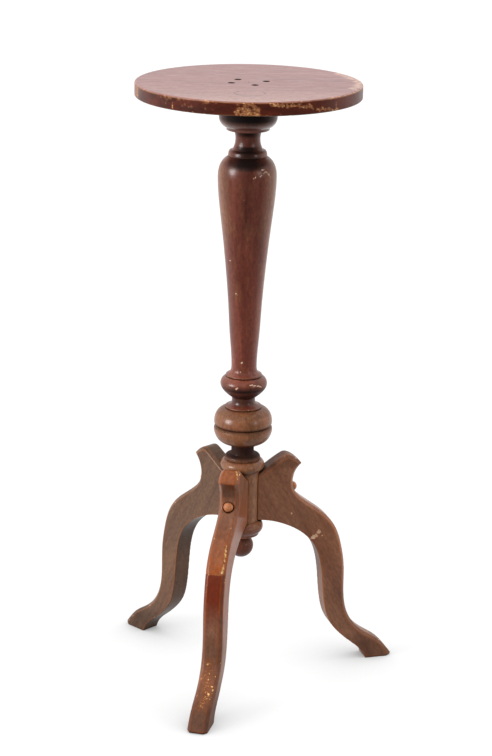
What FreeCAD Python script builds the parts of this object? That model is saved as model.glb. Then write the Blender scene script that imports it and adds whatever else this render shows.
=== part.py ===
import FreeCAD, Part
import math
import os

V = FreeCAD.Vector
UP = V(0, 0, 1)

# Sizes are in millimetres. The origin lies on the column's axis at floor level, +Z is up,
# and the front leg points along -Y.

# Lengths stacked from the floor up: room under the post, post, shaft, collar and top board
POST_CLEARANCE = 219.5
POST_LENGTH = 171.5
SHAFT_LENGTH = 441.5
COLLAR_HEIGHT = 48.0
TOP_THICKNESS = 19.5

# Levels of the joints above the floor
BULB_JOINT = POST_CLEARANCE + POST_LENGTH
COLLAR_FOOT = BULB_JOINT + SHAFT_LENGTH
TOP_UNDERSIDE = COLLAR_FOOT + COLLAR_HEIGHT
STAND_HEIGHT = TOP_UNDERSIDE + TOP_THICKNESS

# Clearances: glued round joints, ends of blind holes, screws in their holes,
# heads in their wells, and ball buttons in their recesses
GLUE_GAP = 0.1
END_GAP = 1.0
SCREW_GAP = 0.15
WELL_GAP = 0.3
BUTTON_GAP = 0.5

# Slotted countersunk screw
SCREW_SHANK_RADIUS = 2.6
SCREW_HEAD_RADIUS = 4.9
SCREW_HEAD_RIM = 0.6
SCREW_POINT = 7.0
SCREW_SLOT_WIDTH = 1.2
SCREW_SLOT_DEPTH = 1.3
SCREW_WELL_RADIUS = SCREW_HEAD_RADIUS + WELL_GAP

# Round top board with eased edges and the mark of the turner's centre
TOP_RADIUS = 161.5
TOP_UPPER_EASE = 2.0
TOP_LOWER_EASE = 1.2
CENTRE_MARK_RADIUS = 1.4
CENTRE_MARK_DEPTH = 2.2

# Four screws through the top board into the collar, drilled by eye, so the angles are uneven
TOP_SCREW_ANGLES = (34.0, 141.0, 214.0, 304.0)
TOP_SCREW_CIRCLE = 26.0
TOP_SCREW_LENGTH = 42.0
TOP_SCREW_SINK = 6.0

# Turned collar: straight side, ovolo as (inset from the side, rise from the foot), and fillet
COLLAR_RADIUS = 41.8
OVOLO_TOP = 18.5
OVOLO_MIDDLE = (2.9, 9.3)
OVOLO_FOOT = (9.4, 3.9)
FILLET_STEP = 1.4
COLLAR_CROWN = 10.0

# Turned shaft: neck, ring and vase as (radius, rise from the collar's foot),
# radii at equal steps down the taper, then foot, knop and bulb as (radius, rise from the bulb joint)
SHAFT_TENON_RADIUS = 12.5
NECK_TOP_RADIUS = 20.6
NECK = ((17.9, -14.5), (22.0, -28.7))
RING = ((25.6, -29.3), (27.3, -31.5), (28.3, -36.9), (27.4, -38.1))
VASE_SHOULDER = ((35.1, -43.9), (40.2, -53.1), (42.3, -72.5))
TAPER_RADII = (38.4, 32.9, 28.2, 24.5, 21.6)
VASE_FOOT = ((18.6, 91.0), (19.6, 84.2), (22.6, 80.6), (25.4, 79.4))
FOOT_LIP = ((26.6, 77.8), (25.0, 76.2))
KNOP = ((30.8, 73.2), (34.4, 65.4), (31.2, 56.4), (22.4, 47.4), (17.8, 43.8))
WAIST = ((17.2, 39.2), (18.3, 34.4))
BULB_COVE = ((21.4, 31.8), (25.8, 30.6))
BULB_LIP = ((27.1, 29.0), (25.9, 27.4))
BULB_UPPER = ((33.6, 25.2), (39.5, 19.2), (42.8, 9.0), (42.6, 3.0))
BULB_GROOVE_RADIUS = 39.4
FOOT_TENON_RADIUS = 10.0
FOOT_TENON_LENGTH = 34.0

# Turned base post: bulb, neck and two beads as (radius, rise from the bulb joint),
# plain post, then lower bead as (radius, rise from the post's foot) and disc
BULB_SHOULDER = (42.7, -2.6)
BULB_LOWER = ((43.2, -6.4), (41.9, -12.4), (36.4, -21.6), (26.2, -27.6), (17.8, -30.6))
BASE_NECK = ((16.8, -38.6), (17.8, -44.4))
SMALL_BEAD = ((23.6, -45.6), (26.4, -49.2), (25.4, -52.8))
LARGE_BEAD = ((28.0, -53.4), (32.7, -61.2), (27.4, -69.4))
POST_RADIUS = 25.0
LOWER_BEAD = ((25.8, 22.5), (32.4, 13.3), (27.4, 3.9))
DISC_RADIUS = 26.4
DISC_HEIGHT = 3.3

# Ball drop under the post
BALL_RADIUS = 18.4
BALL_NECK_RADIUS = 9.0
BALL_NECK_HEIGHT = 3.2
BALL_TENON_RADIUS = 6.0
BALL_TENON_LENGTH = 27.0

# Three sawn legs, each seated on a flat of the plain post, between the beads
LEG_ANGLES = {"front": 270.0, "right": 30.0, "left": 150.0}
LEG_THICKNESS = 30.0
LEG_CHAMFER = 4.5
LEG_REACH = 241.2
ROOT_ABOVE_BEAD = 1.0
ROOT_BELOW_BEAD = 7.0
ROOT_FOOT = POST_CLEARANCE + LOWER_BEAD[0][1] + ROOT_ABOVE_BEAD
ROOT_TOP = BULB_JOINT + LARGE_BEAD[-1][1] - ROOT_BELOW_BEAD
FLAT_DISTANCE = math.sqrt(POST_RADIUS**2 - (LEG_THICKNESS / 2) ** 2)

# Outline of a leg. Arch and knee are (distance from the axis, rise from the root's foot),
# the foot is (distance from the toe, height), and throat, horn and crest rise from the root's top.
ARCH = ((38.0, -2.1), (65.0, -10.6), (92.0, -26.4), (112.8, -50.8), (122.4, -81.0))
FOOT_UNDERSIDE = ((-111.2, 95.5), (-102.6, 67.8), (-86.0, 46.4), (-67.6, 30.0), (-52.0, 16.4), (-42.6, 0.0))
TOE = ((-2.6, 0.0), (0.0, 3.2))
FOOT_OUTSIDE = ((-8.7, 14.8), (-22.4, 28.8), (-42.8, 42.4), (-59.8, 56.8), (-72.0, 75.4), (-78.0, 96.0))
KNEE = ((160.7, -86.0), (156.0, -55.6), (145.6, -23.4), (129.2, -1.4), (107.0, 16.4))
THROAT = ((89.6, -41.8), (79.6, -30.6), (76.0, -15.6), (79.4, 0.2), (89.4, 12.7))
CREST = ((81.4, 20.2), (73.4, 25.4), (66.0, 27.2), (57.4, 23.6), (43.4, 14.4), (FLAT_DISTANCE, 0.0))

# Leg fastenings: one screw behind a ball button, and a dowel above and below it
LEG_SCREW_DROP = 26.6
LEG_SCREW_HEIGHT = ROOT_TOP - LEG_SCREW_DROP
LEG_SCREW_HEAD = 57.0
LEG_SCREW_TIP = 6.0
BUTTON_SEAT = 75.7
BUTTON_RADIUS = 7.3
BUTTON_RISE = 2.2
BUTTON_SHANK_RADIUS = SCREW_WELL_RADIUS - GLUE_GAP
BUTTON_SHANK_ROOM = 4.7
UPPER_DOWEL_DROP = 8.6
LOWER_DOWEL_RISE = 19.0
DOWEL_HEIGHTS = {"upper": ROOT_TOP - UPPER_DOWEL_DROP, "lower": ROOT_FOOT + LOWER_DOWEL_RISE}
DOWEL_RADIUS = 4.0
DOWEL_INNER_END = 8.0
DOWEL_OUTER_END = 48.0
DOWEL_CHAMFER = 0.8


class Outline:
    """A chain of edges in the XZ plane, each starting where the last one ended."""

    def __init__(self, x, z):
        self.start = V(x, 0, z)
        self.at = self.start
        self.edges = []

    def add(self, geometry, end):
        self.edges.append(geometry.toShape())
        self.at = end

    def line_to(self, x, z):
        end = V(x, 0, z)
        self.add(Part.LineSegment(self.at, end), end)

    def arc_to(self, middle, end):
        last = V(end[0], 0, end[1])
        self.add(Part.Arc(self.at, V(middle[0], 0, middle[1]), last), last)

    def bead(self, points):
        top, middle, foot = points
        self.line_to(*top)
        self.arc_to(middle, foot)

    def curve_to(self, points):
        through = [self.at] + [V(x, 0, z) for x, z in points]
        curve = Part.BSplineCurve()
        curve.interpolate(through)
        self.add(curve, through[-1])

    def face(self):
        self.line_to(self.start.x, self.start.z)
        return Part.Face(Part.Wire(self.edges))

    def turned(self):
        return self.face().revolve(V(0, 0, 0), UP, 360)


def placed(points, level, distance=0.0):
    """Outline points that are given as rises from a level and, on a foot, as distances from the toe."""
    return [(distance + x, level + rise) for x, rise in points]


def rod(radius, x_from, x_to, height):
    """A round rod along +X at the given height, for holes and dowels in a leg."""
    return Part.makeCylinder(radius, x_to - x_from, V(x_from, 0, height), V(1, 0, 0))


def around(shape, angle):
    """A copy of the shape turned about the column's axis."""
    copy = shape.copy()
    copy.rotate(V(0, 0, 0), UP, angle)
    return copy


def screw_body(length, gap):
    """A countersunk screw with its head's face at the origin and its point down, widened by the gap."""
    head = SCREW_HEAD_RADIUS + gap
    shank = SCREW_SHANK_RADIUS + gap
    neck = SCREW_HEAD_RIM + SCREW_HEAD_RADIUS - SCREW_SHANK_RADIUS
    outline = Outline(0, 0)
    outline.line_to(head, 0)
    outline.line_to(head, -SCREW_HEAD_RIM)
    outline.line_to(shank, -neck)
    outline.line_to(shank, SCREW_POINT - length)
    outline.line_to(0, -length - gap)
    return outline.turned()


def screw(length):
    """A slotted screw in the place of screw_body."""
    width = 2 * SCREW_HEAD_RADIUS
    corner = V(-width / 2, -SCREW_SLOT_WIDTH / 2, -SCREW_SLOT_DEPTH)
    slot = Part.makeBox(width, SCREW_SLOT_WIDTH, SCREW_SLOT_DEPTH, corner)
    return screw_body(length, 0).cut(slot)


def screw_hole(length, well_depth):
    """The room for a screw, with a straight well above its head."""
    well = Part.makeCylinder(SCREW_WELL_RADIUS, well_depth)
    return screw_body(length, SCREW_GAP).fuse(well)


def at_top_screws(shape):
    """Four copies of a shape made at the origin, at the places of the top's screws."""
    head = V(TOP_SCREW_CIRCLE, 0, STAND_HEIGHT - TOP_SCREW_SINK)
    moved = shape.translated(head)
    return [around(moved, angle) for angle in TOP_SCREW_ANGLES]


def along_leg(shape):
    """Turns a screw made at the origin to point at the axis, with its head in a leg's well."""
    copy = shape.copy()
    copy.rotate(V(0, 0, 0), V(0, 1, 0), 90)
    return copy.translated(V(LEG_SCREW_HEAD, 0, LEG_SCREW_HEIGHT))


def make_top_board():
    outline = Outline(0, STAND_HEIGHT)
    lean = 1 - math.sqrt(0.5)
    outline.line_to(TOP_RADIUS - TOP_UPPER_EASE, STAND_HEIGHT)
    middle = (TOP_RADIUS - TOP_UPPER_EASE * lean, STAND_HEIGHT - TOP_UPPER_EASE * lean)
    outline.arc_to(middle, (TOP_RADIUS, STAND_HEIGHT - TOP_UPPER_EASE))
    outline.line_to(TOP_RADIUS, TOP_UNDERSIDE + TOP_LOWER_EASE)
    middle = (TOP_RADIUS - TOP_LOWER_EASE * lean, TOP_UNDERSIDE + TOP_LOWER_EASE * lean)
    outline.arc_to(middle, (TOP_RADIUS - TOP_LOWER_EASE, TOP_UNDERSIDE))
    outline.line_to(0, TOP_UNDERSIDE)
    board = outline.turned()
    low = V(0, 0, STAND_HEIGHT - CENTRE_MARK_DEPTH)
    board = board.cut(Part.makeCone(0, CENTRE_MARK_RADIUS, CENTRE_MARK_DEPTH, low))
    for hole in at_top_screws(screw_hole(TOP_SCREW_LENGTH, TOP_SCREW_SINK)):
        board = board.cut(hole)
    return board


def make_top_screws():
    return Part.makeCompound(at_top_screws(screw(TOP_SCREW_LENGTH)))


def make_top_collar():
    middle, foot = [(COLLAR_RADIUS - inset, COLLAR_FOOT + rise) for inset, rise in (OVOLO_MIDDLE, OVOLO_FOOT)]
    fillet = foot[0] - FILLET_STEP
    outline = Outline(0, TOP_UNDERSIDE)
    outline.line_to(COLLAR_RADIUS, TOP_UNDERSIDE)
    outline.line_to(COLLAR_RADIUS, COLLAR_FOOT + OVOLO_TOP)
    outline.arc_to(middle, foot)
    outline.line_to(fillet, foot[1])
    outline.line_to(fillet, COLLAR_FOOT)
    outline.line_to(0, COLLAR_FOOT)
    collar = outline.turned()
    depth = COLLAR_HEIGHT - COLLAR_CROWN + END_GAP
    collar = collar.cut(Part.makeCylinder(SHAFT_TENON_RADIUS + GLUE_GAP, depth, V(0, 0, COLLAR_FOOT)))
    for hole in at_top_screws(screw_hole(TOP_SCREW_LENGTH, TOP_SCREW_SINK)):
        collar = collar.cut(hole)
    return collar


def taper_points(high, low):
    """The taper's radii at equal steps between two levels."""
    step = (low - high) / (len(TAPER_RADII) + 1)
    return [(radius, high + step * count) for count, radius in enumerate(TAPER_RADII, 1)]


def make_column_shaft():
    tenon_end = TOP_UNDERSIDE - COLLAR_CROWN
    outline = Outline(0, tenon_end)
    outline.line_to(SHAFT_TENON_RADIUS, tenon_end)
    outline.line_to(SHAFT_TENON_RADIUS, COLLAR_FOOT)
    outline.line_to(NECK_TOP_RADIUS, COLLAR_FOOT)
    outline.arc_to(*placed(NECK, COLLAR_FOOT))
    for point in placed(RING, COLLAR_FOOT):
        outline.line_to(*point)
    shoulder = placed(VASE_SHOULDER, COLLAR_FOOT)
    foot = placed(VASE_FOOT, BULB_JOINT)
    outline.curve_to(shoulder + taper_points(shoulder[-1][1], foot[0][1]) + foot)
    outline.arc_to(*placed(FOOT_LIP, BULB_JOINT))
    outline.curve_to(placed(KNOP, BULB_JOINT))
    outline.arc_to(*placed(WAIST, BULB_JOINT))
    outline.curve_to(placed(BULB_COVE, BULB_JOINT))
    outline.arc_to(*placed(BULB_LIP, BULB_JOINT))
    outline.curve_to(placed(BULB_UPPER, BULB_JOINT))
    outline.line_to(BULB_GROOVE_RADIUS, BULB_JOINT)
    outline.line_to(FOOT_TENON_RADIUS, BULB_JOINT)
    outline.line_to(FOOT_TENON_RADIUS, BULB_JOINT - FOOT_TENON_LENGTH)
    outline.line_to(0, BULB_JOINT - FOOT_TENON_LENGTH)
    return outline.turned()


def make_base_post():
    large_bead = placed(LARGE_BEAD, BULB_JOINT)
    lower_bead = placed(LOWER_BEAD, POST_CLEARANCE)
    outline = Outline(0, BULB_JOINT)
    outline.line_to(BULB_GROOVE_RADIUS, BULB_JOINT)
    outline.line_to(*placed([BULB_SHOULDER], BULB_JOINT)[0])
    outline.curve_to(placed(BULB_LOWER, BULB_JOINT))
    outline.arc_to(*placed(BASE_NECK, BULB_JOINT))
    outline.bead(placed(SMALL_BEAD, BULB_JOINT))
    outline.bead(large_bead)
    outline.line_to(POST_RADIUS, large_bead[-1][1])
    outline.line_to(POST_RADIUS, lower_bead[0][1])
    outline.bead(lower_bead)
    outline.line_to(DISC_RADIUS, POST_CLEARANCE + DISC_HEIGHT)
    outline.line_to(DISC_RADIUS, POST_CLEARANCE)
    outline.line_to(0, POST_CLEARANCE)
    post = outline.turned()
    depth = FOOT_TENON_LENGTH + END_GAP
    post = post.cut(Part.makeCylinder(FOOT_TENON_RADIUS + GLUE_GAP, depth, V(0, 0, BULB_JOINT - depth)))
    depth = BALL_TENON_LENGTH + END_GAP
    post = post.cut(Part.makeCylinder(BALL_TENON_RADIUS + GLUE_GAP, depth, V(0, 0, POST_CLEARANCE)))
    corner = V(FLAT_DISTANCE, -POST_RADIUS, ROOT_FOOT)
    seat = Part.makeBox(POST_RADIUS, 2 * POST_RADIUS, ROOT_TOP - ROOT_FOOT, corner)
    for tool in [seat] + leg_holes():
        for angle in LEG_ANGLES.values():
            post = post.cut(around(tool, angle))
    return post


def make_drop_finial():
    top = POST_CLEARANCE + BALL_TENON_LENGTH
    meet = POST_CLEARANCE - BALL_NECK_HEIGHT
    centre = meet - math.sqrt(BALL_RADIUS**2 - BALL_NECK_RADIUS**2)
    outline = Outline(0, top)
    outline.line_to(BALL_TENON_RADIUS, top)
    outline.line_to(BALL_TENON_RADIUS, POST_CLEARANCE)
    outline.line_to(BALL_NECK_RADIUS, POST_CLEARANCE)
    outline.line_to(BALL_NECK_RADIUS, meet)
    outline.arc_to((BALL_RADIUS, centre), (0, centre - BALL_RADIUS))
    return outline.turned()


def leg_holes():
    """The screw hole and the dowel holes of one leg, which run on into the post."""
    holes = [along_leg(screw_hole(LEG_SCREW_HEAD - LEG_SCREW_TIP, BUTTON_SEAT - LEG_SCREW_HEAD))]
    for height in DOWEL_HEIGHTS.values():
        holes.append(rod(DOWEL_RADIUS + GLUE_GAP, DOWEL_INNER_END - END_GAP, DOWEL_OUTER_END + END_GAP, height))
    return holes


def make_leg():
    toe_under, toe = placed(TOE, 0, LEG_REACH)
    throat = placed(THROAT, ROOT_TOP)
    outline = Outline(FLAT_DISTANCE, ROOT_FOOT)
    outline.curve_to(placed(ARCH, ROOT_FOOT) + placed(FOOT_UNDERSIDE, 0, LEG_REACH))
    outline.line_to(*toe_under)
    inner = len(outline.edges)
    outline.line_to(*toe)
    outline.curve_to(placed(FOOT_OUTSIDE, 0, LEG_REACH) + placed(KNEE, ROOT_FOOT) + throat)
    outline.curve_to(placed(CREST, ROOT_TOP))
    outer = outline.edges[inner:]
    leg = outline.face().extrude(V(0, LEG_THICKNESS, 0)).translated(V(0, -LEG_THICKNESS / 2, 0))
    leg = leg.makeChamfer(LEG_CHAMFER, [edge for edge in leg.Edges if follows(edge, outer)])
    horn_tip = throat[-1][0]
    leg = leg.cut(rod(BUTTON_RADIUS + BUTTON_GAP, BUTTON_SEAT, horn_tip, LEG_SCREW_HEIGHT))
    for hole in leg_holes():
        leg = leg.cut(hole)
    return leg


def follows(edge, drawn):
    """True if the edge lies beside one of the drawn ones, at either face of the leg."""
    place = V(edge.CenterOfMass.x, 0, edge.CenterOfMass.z)
    return any(place.isEqual(other.CenterOfMass, 0.01) for other in drawn)


def make_leg_screw():
    return along_leg(screw(LEG_SCREW_HEAD - LEG_SCREW_TIP))


def make_leg_button():
    """A ball with a flat at the seat and a shank that plugs the screw's well."""
    centre = BUTTON_SEAT + BUTTON_RISE
    ball = Part.makeSphere(BUTTON_RADIUS, V(centre, 0, LEG_SCREW_HEIGHT))
    ball = ball.common(rod(BUTTON_RADIUS, BUTTON_SEAT, centre + BUTTON_RADIUS, LEG_SCREW_HEIGHT))
    shank = rod(BUTTON_SHANK_RADIUS, LEG_SCREW_HEAD + BUTTON_SHANK_ROOM, centre, LEG_SCREW_HEIGHT)
    return ball.fuse(shank).removeSplitter()


def make_dowel(height):
    dowel = rod(DOWEL_RADIUS, DOWEL_INNER_END, DOWEL_OUTER_END, height)
    rims = [edge for edge in dowel.Edges if len(edge.Vertexes) == 1]
    return dowel.makeChamfer(DOWEL_CHAMFER, rims)


def make_stand():
    """Every node of the stand by its name."""
    nodes = {
        "top_board": make_top_board(),
        "top_screws": make_top_screws(),
        "top_collar": make_top_collar(),
        "column_shaft": make_column_shaft(),
        "base_post": make_base_post(),
        "drop_finial": make_drop_finial(),
    }
    leg_pieces = {"": make_leg(), "_screw": make_leg_screw(), "_button": make_leg_button()}
    for place, height in DOWEL_HEIGHTS.items():
        leg_pieces["_dowel_" + place] = make_dowel(height)
    for side, angle in LEG_ANGLES.items():
        for piece, shape in leg_pieces.items():
            nodes["leg_" + side + piece] = around(shape, angle)
    return nodes


os.makedirs("parts", exist_ok=True)
for name, shape in make_stand().items():
    shape.exportStep("parts/" + name + ".step")
    print(name, len(shape.Solids), "solids", round(shape.Volume), "mm3", shape.isValid())
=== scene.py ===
# %% [markdown]
# # A turned candle stand in worn mahogany stain
#
# The stand is an old tripod: a round top on a turned column, with three sawn scroll legs.
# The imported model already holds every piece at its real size, so this lesson only dresses it.
# It softens the edges as years of handling do, chips the rim, and gives each wood its finish.
# Loading the model first means that every later piece can take its size and place from it.

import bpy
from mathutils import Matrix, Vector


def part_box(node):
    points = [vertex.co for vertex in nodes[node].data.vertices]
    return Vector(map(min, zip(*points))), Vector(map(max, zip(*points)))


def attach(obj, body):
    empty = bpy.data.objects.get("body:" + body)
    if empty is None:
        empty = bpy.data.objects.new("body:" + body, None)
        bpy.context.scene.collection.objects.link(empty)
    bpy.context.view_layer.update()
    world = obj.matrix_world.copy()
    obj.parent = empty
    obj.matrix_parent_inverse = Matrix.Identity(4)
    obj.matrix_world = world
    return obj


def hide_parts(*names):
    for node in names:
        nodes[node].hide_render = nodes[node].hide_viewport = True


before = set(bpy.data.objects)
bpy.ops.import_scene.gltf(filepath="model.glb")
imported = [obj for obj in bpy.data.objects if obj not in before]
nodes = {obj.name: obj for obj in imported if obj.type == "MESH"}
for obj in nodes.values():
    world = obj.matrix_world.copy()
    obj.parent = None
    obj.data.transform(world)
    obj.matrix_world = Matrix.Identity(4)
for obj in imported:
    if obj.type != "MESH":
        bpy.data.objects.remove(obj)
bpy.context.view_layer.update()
print("pieces in the stand:", len(nodes))

# %% [markdown]
# ## The camera
#
# The picture is taken from about one and a half times the stand's height, looking a little down.
# A lens position can be guessed and nudged, but here the heading, the tilt and the focal length
# were worked out from the ellipse of the top, the three feet and the upright column.
# So they are written as plain angles and lengths, and the camera is placed once.

# %% Set up the camera
import math

import bpy
from mathutils import Matrix, Vector

PICTURE_HEIGHT = 756
FOCAL_PIXELS = 2204
SENSOR_MM = 36.0
EYE = Vector((0.7647, -2.9980, 1.4225))
EYE_HEADING = math.radians(14.25)
EYE_TILT = math.radians(90 - 17.234)
EYE_ROLL = math.radians(1.0)
VIEW_END = 100

aim = (
    Matrix.Rotation(EYE_HEADING, 3, "Z")
    @ Matrix.Rotation(EYE_TILT, 3, "X")
    @ Matrix.Rotation(EYE_ROLL, 3, "Z")
)
bpy.ops.object.camera_add(location=EYE, rotation=aim.to_euler())
camera = bpy.context.object
camera.data.sensor_width = SENSOR_MM
camera.data.lens = FOCAL_PIXELS * SENSOR_MM / PICTURE_HEIGHT
camera.data.clip_end = VIEW_END
bpy.context.scene.camera = camera
print("lens in mm:", round(camera.data.lens, 1))

# %% [markdown]
# ## One function for nodes, one for colours
#
# Every finish below is a small graph of nodes. Building each one by hand in code takes three lines
# per node, so a single helper adds a node, fills in its fields, links it and hands back its output.
# Colours are written as the hex values a painter would read off a swatch. Blender mixes light in
# linear values, so one function turns the swatch into those.

# %% Helpers for finishes


def linear(swatch):
    """The linear colour of an sRGB hex swatch such as 7a4c35, with full alpha."""
    shares = [int(swatch[at:at + 2], 16) / 255 for at in (0, 2, 4)]
    low = [share / 12.92 for share in shares]
    high = [((share + 0.055) / 1.055) ** 2.4 for share in shares]
    return [a if share <= 0.04045 else b for share, a, b in zip(shares, low, high)] + [1.0]


def add(tree, kind, settings=None, links=None, out=0):
    """Adds one node, sets its fields or sockets, links its sockets, and returns one of its outputs."""
    node = tree.nodes.new("ShaderNode" + kind)
    for key, value in (settings or {}).items():
        if isinstance(key, int) or key in node.inputs:
            node.inputs[key].default_value = value
        else:
            setattr(node, key, value)
    for key, output in (links or {}).items():
        tree.links.new(output, node.inputs[key])
    return node.outputs[out] if node.outputs else None


def new_tree(owner):
    """An empty node tree on a material or world."""
    owner.use_nodes = True
    owner.node_tree.nodes.clear()
    return owner.node_tree


print("mahogany swatch in linear:", [round(share, 3) for share in linear("7a4c35")])

# %% [markdown]
# ## White only where it is looked at
#
# The stand is shown on white. A white sheet lit until it clips would also flood the stand with
# light, so the floor and the air are white only for what the camera and the varnish see. In the
# varnish the side behind the camera is dimmer, as a studio is, which gives the round pieces a dark
# middle between two pale sides. One helper works out that level for the floor and for the air.

# %% The white that is seen
DIM_SIDE = 0.1
EYE_SIDE = Matrix.Rotation(EYE_HEADING, 3, "Z") @ Vector((0, -1, 0))


def as_seen(tree, place, fade, unseen):
    """1 for the camera, dimmer towards the camera's side in a gloss, and unseen for other light."""
    near = add(tree, "VectorMath", {"operation": "DOT_PRODUCT", 1: EYE_SIDE}, {0: place}, out="Value")
    fading = {"From Min": fade[0], "From Max": fade[1], "To Min": 1.0, "To Max": DIM_SIDE}
    mirrored = add(tree, "MapRange", fading, {"Value": near})
    gloss_ray = add(tree, "LightPath", out="Is Glossy Ray")
    level = add(tree, "MapRange", {}, {"Value": gloss_ray, "To Min": unseen, "To Max": mirrored})
    camera_ray = add(tree, "LightPath", out="Is Camera Ray")
    through_ray = add(tree, "LightPath", out="Is Transmission Ray")
    straight = add(tree, "Math", {"operation": "MAXIMUM"}, {0: camera_ray, 1: through_ray})
    return add(tree, "MapRange", {"To Max": 1.0}, {"Value": straight, "To Min": level})


print("the varnish sees the camera's side at:", DIM_SIDE)

# %% [markdown]
# ## The floor
#
# The floor glows with most of its white and takes the rest from the lamps, so it keeps the shadow.
# A glow would wash out the deep shade where a foot meets the floor, so it falls off close to the
# feet, by how much of the sky each place sees, which paints a soft shadow round each foot. For the
# light on the wood the floor is a dim grey.

# %% Lay the floor
FLOOR_SIDE = 60.0
FLOOR_FADE = (-0.1, 0.9)
PAPER = linear("8c8c8c")
PAPER_BOUNCE = linear("5e5e5c")
PAPER_GLOW, FOOT_GLOW = 0.76, 0.1
FOOT_SHADE = 0.11

bpy.ops.mesh.primitive_plane_add(size=FLOOR_SIDE)
floor = bpy.context.object
floor.name = "floor"
paper = bpy.data.materials.new("white_paper")
tree = new_tree(paper)
here = add(tree, "TexCoord", out="Object")
nothing = add(tree, "Value")
seen = as_seen(tree, here, FLOOR_FADE, nothing)
tone = add(tree, "MixRGB", {"Color1": PAPER_BOUNCE, "Color2": PAPER}, {"Fac": seen})
sheet = add(tree, "BsdfDiffuse", {}, {"Color": tone})
# Less glow where the sky is closed in paints a soft shadow round each foot.
open_sky = add(tree, "AmbientOcclusion", {"samples": 16, "Distance": FOOT_SHADE}, out="AO")
shaded = add(tree, "MapRange", {"To Min": FOOT_GLOW, "To Max": PAPER_GLOW}, {"Value": open_sky})
own_glow = add(tree, "Math", {"operation": "MULTIPLY"}, {0: seen, 1: shaded})
shine = add(tree, "Emission", {}, {"Strength": own_glow})
glowing_sheet = add(tree, "AddShader", {}, {0: sheet, 1: shine})
add(tree, "OutputMaterial", {}, {"Surface": glowing_sheet})
floor.data.materials.append(paper)
print("floor side in m:", FLOOR_SIDE)

# %% [markdown]
# ## The air
#
# A room with white walls lights a piece from all round, more from above than from below. A world
# gives that with no lamp to place. It is white where it is looked at, as the floor is.

# %% Fill the air
AIR_FADE = (-0.15, 0.55)
AIR_LOW, AIR_HIGH = 0.25, 0.9

air = bpy.data.worlds.new("white_air")
bpy.context.scene.world = air
tree = new_tree(air)
way = add(tree, "TexCoord", out="Generated")
height = add(tree, "SeparateXYZ", {}, {0: way}, out="Z")
daylight = add(tree, "MapRange", {"To Min": AIR_LOW, "To Max": AIR_HIGH}, {"Value": height})
level = as_seen(tree, way, AIR_FADE, daylight)
white = add(tree, "Background", {"Color": (1, 1, 1, 1)}, {"Strength": level})
add(tree, "OutputWorld", {}, {"Surface": white})
# Only rays that bounce find the air. Sampled as a lamp, it couldn't tell a gloss from a matt surface.
air.cycles.sampling_method = "NONE"
bpy.context.scene.view_settings.view_transform = "Standard"
print("light of the air, below and above:", AIR_LOW, AIR_HIGH)

# %% [markdown]
# ## Lamps
#
# Two very wide lamps stand for white walls at the sides, which light the flanks of the column.
# The varnish already mirrors the white air there, so these two stay out of its reflections.
# Two narrower ones stand for windows in front, one at the left and a weak one at the right. They give
# the small highlights on the shoulders of the vase and the knop, which is how they were placed: each
# lies where a highlight's mirror points. A weak ceiling lamp lifts what faces up.
# All of them are suns, so the light is the same over the whole stand.

# %% Hang the lamps
# Each lamp's place is given as seen from the camera: to the right, towards the camera, up.
LAMPS = {
    "left_wall": {"from": (-0.97, -0.05, 0.25), "level": 0.8, "spread": 70, "mirrored": False},
    "right_wall": {"from": (0.97, -0.10, 0.22), "level": 1.9, "spread": 70, "mirrored": False},
    "left_window": {"from": (-0.85, 0.44, 0.26), "level": 2.5, "spread": 25, "mirrored": True},
    "right_window": {"from": (0.76, 0.60, 0.24), "level": 0.3, "spread": 12, "mirrored": True},
    "ceiling": {"from": (-0.15, 0.62, 0.77), "level": 0.25, "spread": 45, "mirrored": True},
}
for name, lamp in LAMPS.items():
    right, near, up = lamp["from"]
    towards = Matrix.Rotation(EYE_HEADING, 3, "Z") @ Vector((right, -near, up))
    bpy.ops.object.light_add(type="SUN", rotation=towards.to_track_quat("Z", "Y").to_euler())
    sun = bpy.context.object
    sun.name = name
    sun.data.energy = lamp["level"]
    sun.data.angle = math.radians(lamp["spread"])
    sun.visible_glossy = lamp["mirrored"]
    print(name, "shines from", [round(share, 2) for share in towards])

# %% [markdown]
# ## Taking a blank from the model
#
# A turner starts from a blank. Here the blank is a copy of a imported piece, so that nothing has to be
# measured twice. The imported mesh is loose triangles, so the copy is merged before it is worked on.
# The original stays untouched and is hidden later, when its finished piece stands for it.

# %% Cut blanks
MM = 0.001
MERGE = 0.01 * MM


def only(piece):
    """Selects one piece and nothing else, as a click on it would."""
    bpy.ops.object.select_all(action="DESELECT")
    piece.select_set(True)
    bpy.context.view_layer.objects.active = piece


def blank_from(node, name):
    """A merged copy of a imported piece's mesh, as a new piece of its own."""
    piece = bpy.data.objects.new(name, nodes[node].data.copy())
    piece.data.name = name
    piece.data.materials.clear()
    bpy.context.scene.collection.objects.link(piece)
    only(piece)
    bpy.ops.mesh.customdata_custom_splitnormals_clear()
    bpy.ops.object.mode_set(mode="EDIT")
    bpy.ops.mesh.select_all(action="SELECT")
    bpy.ops.mesh.remove_doubles(threshold=MERGE)
    bpy.ops.object.mode_set(mode="OBJECT")
    return piece


print("a blank can be cut from any of:", ", ".join(sorted(nodes)))

# %% [markdown]
# ## An outline for the lathe
#
# The collar, the column, the post and the finial are turned wood. On a lathe the chisel follows one
# outline while the wood spins. The outline could be typed in again, but cutting the blank in half
# along its axis gives it exactly.
# A sharp corner never survives sanding and handling, so each corner is rounded by half a millimetre.

# %% Cut an outline and round its corners
import bmesh

# The half plane at this angle lies between two legs, so it cuts no flat, bore or screw.
CUT_ANGLE = math.radians(-30)
FINE = 0.4 * MM
CORNER_ROUND = 0.55 * MM
CORNER_STEPS = 2
CORNER_TURN = math.radians(22)


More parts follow.
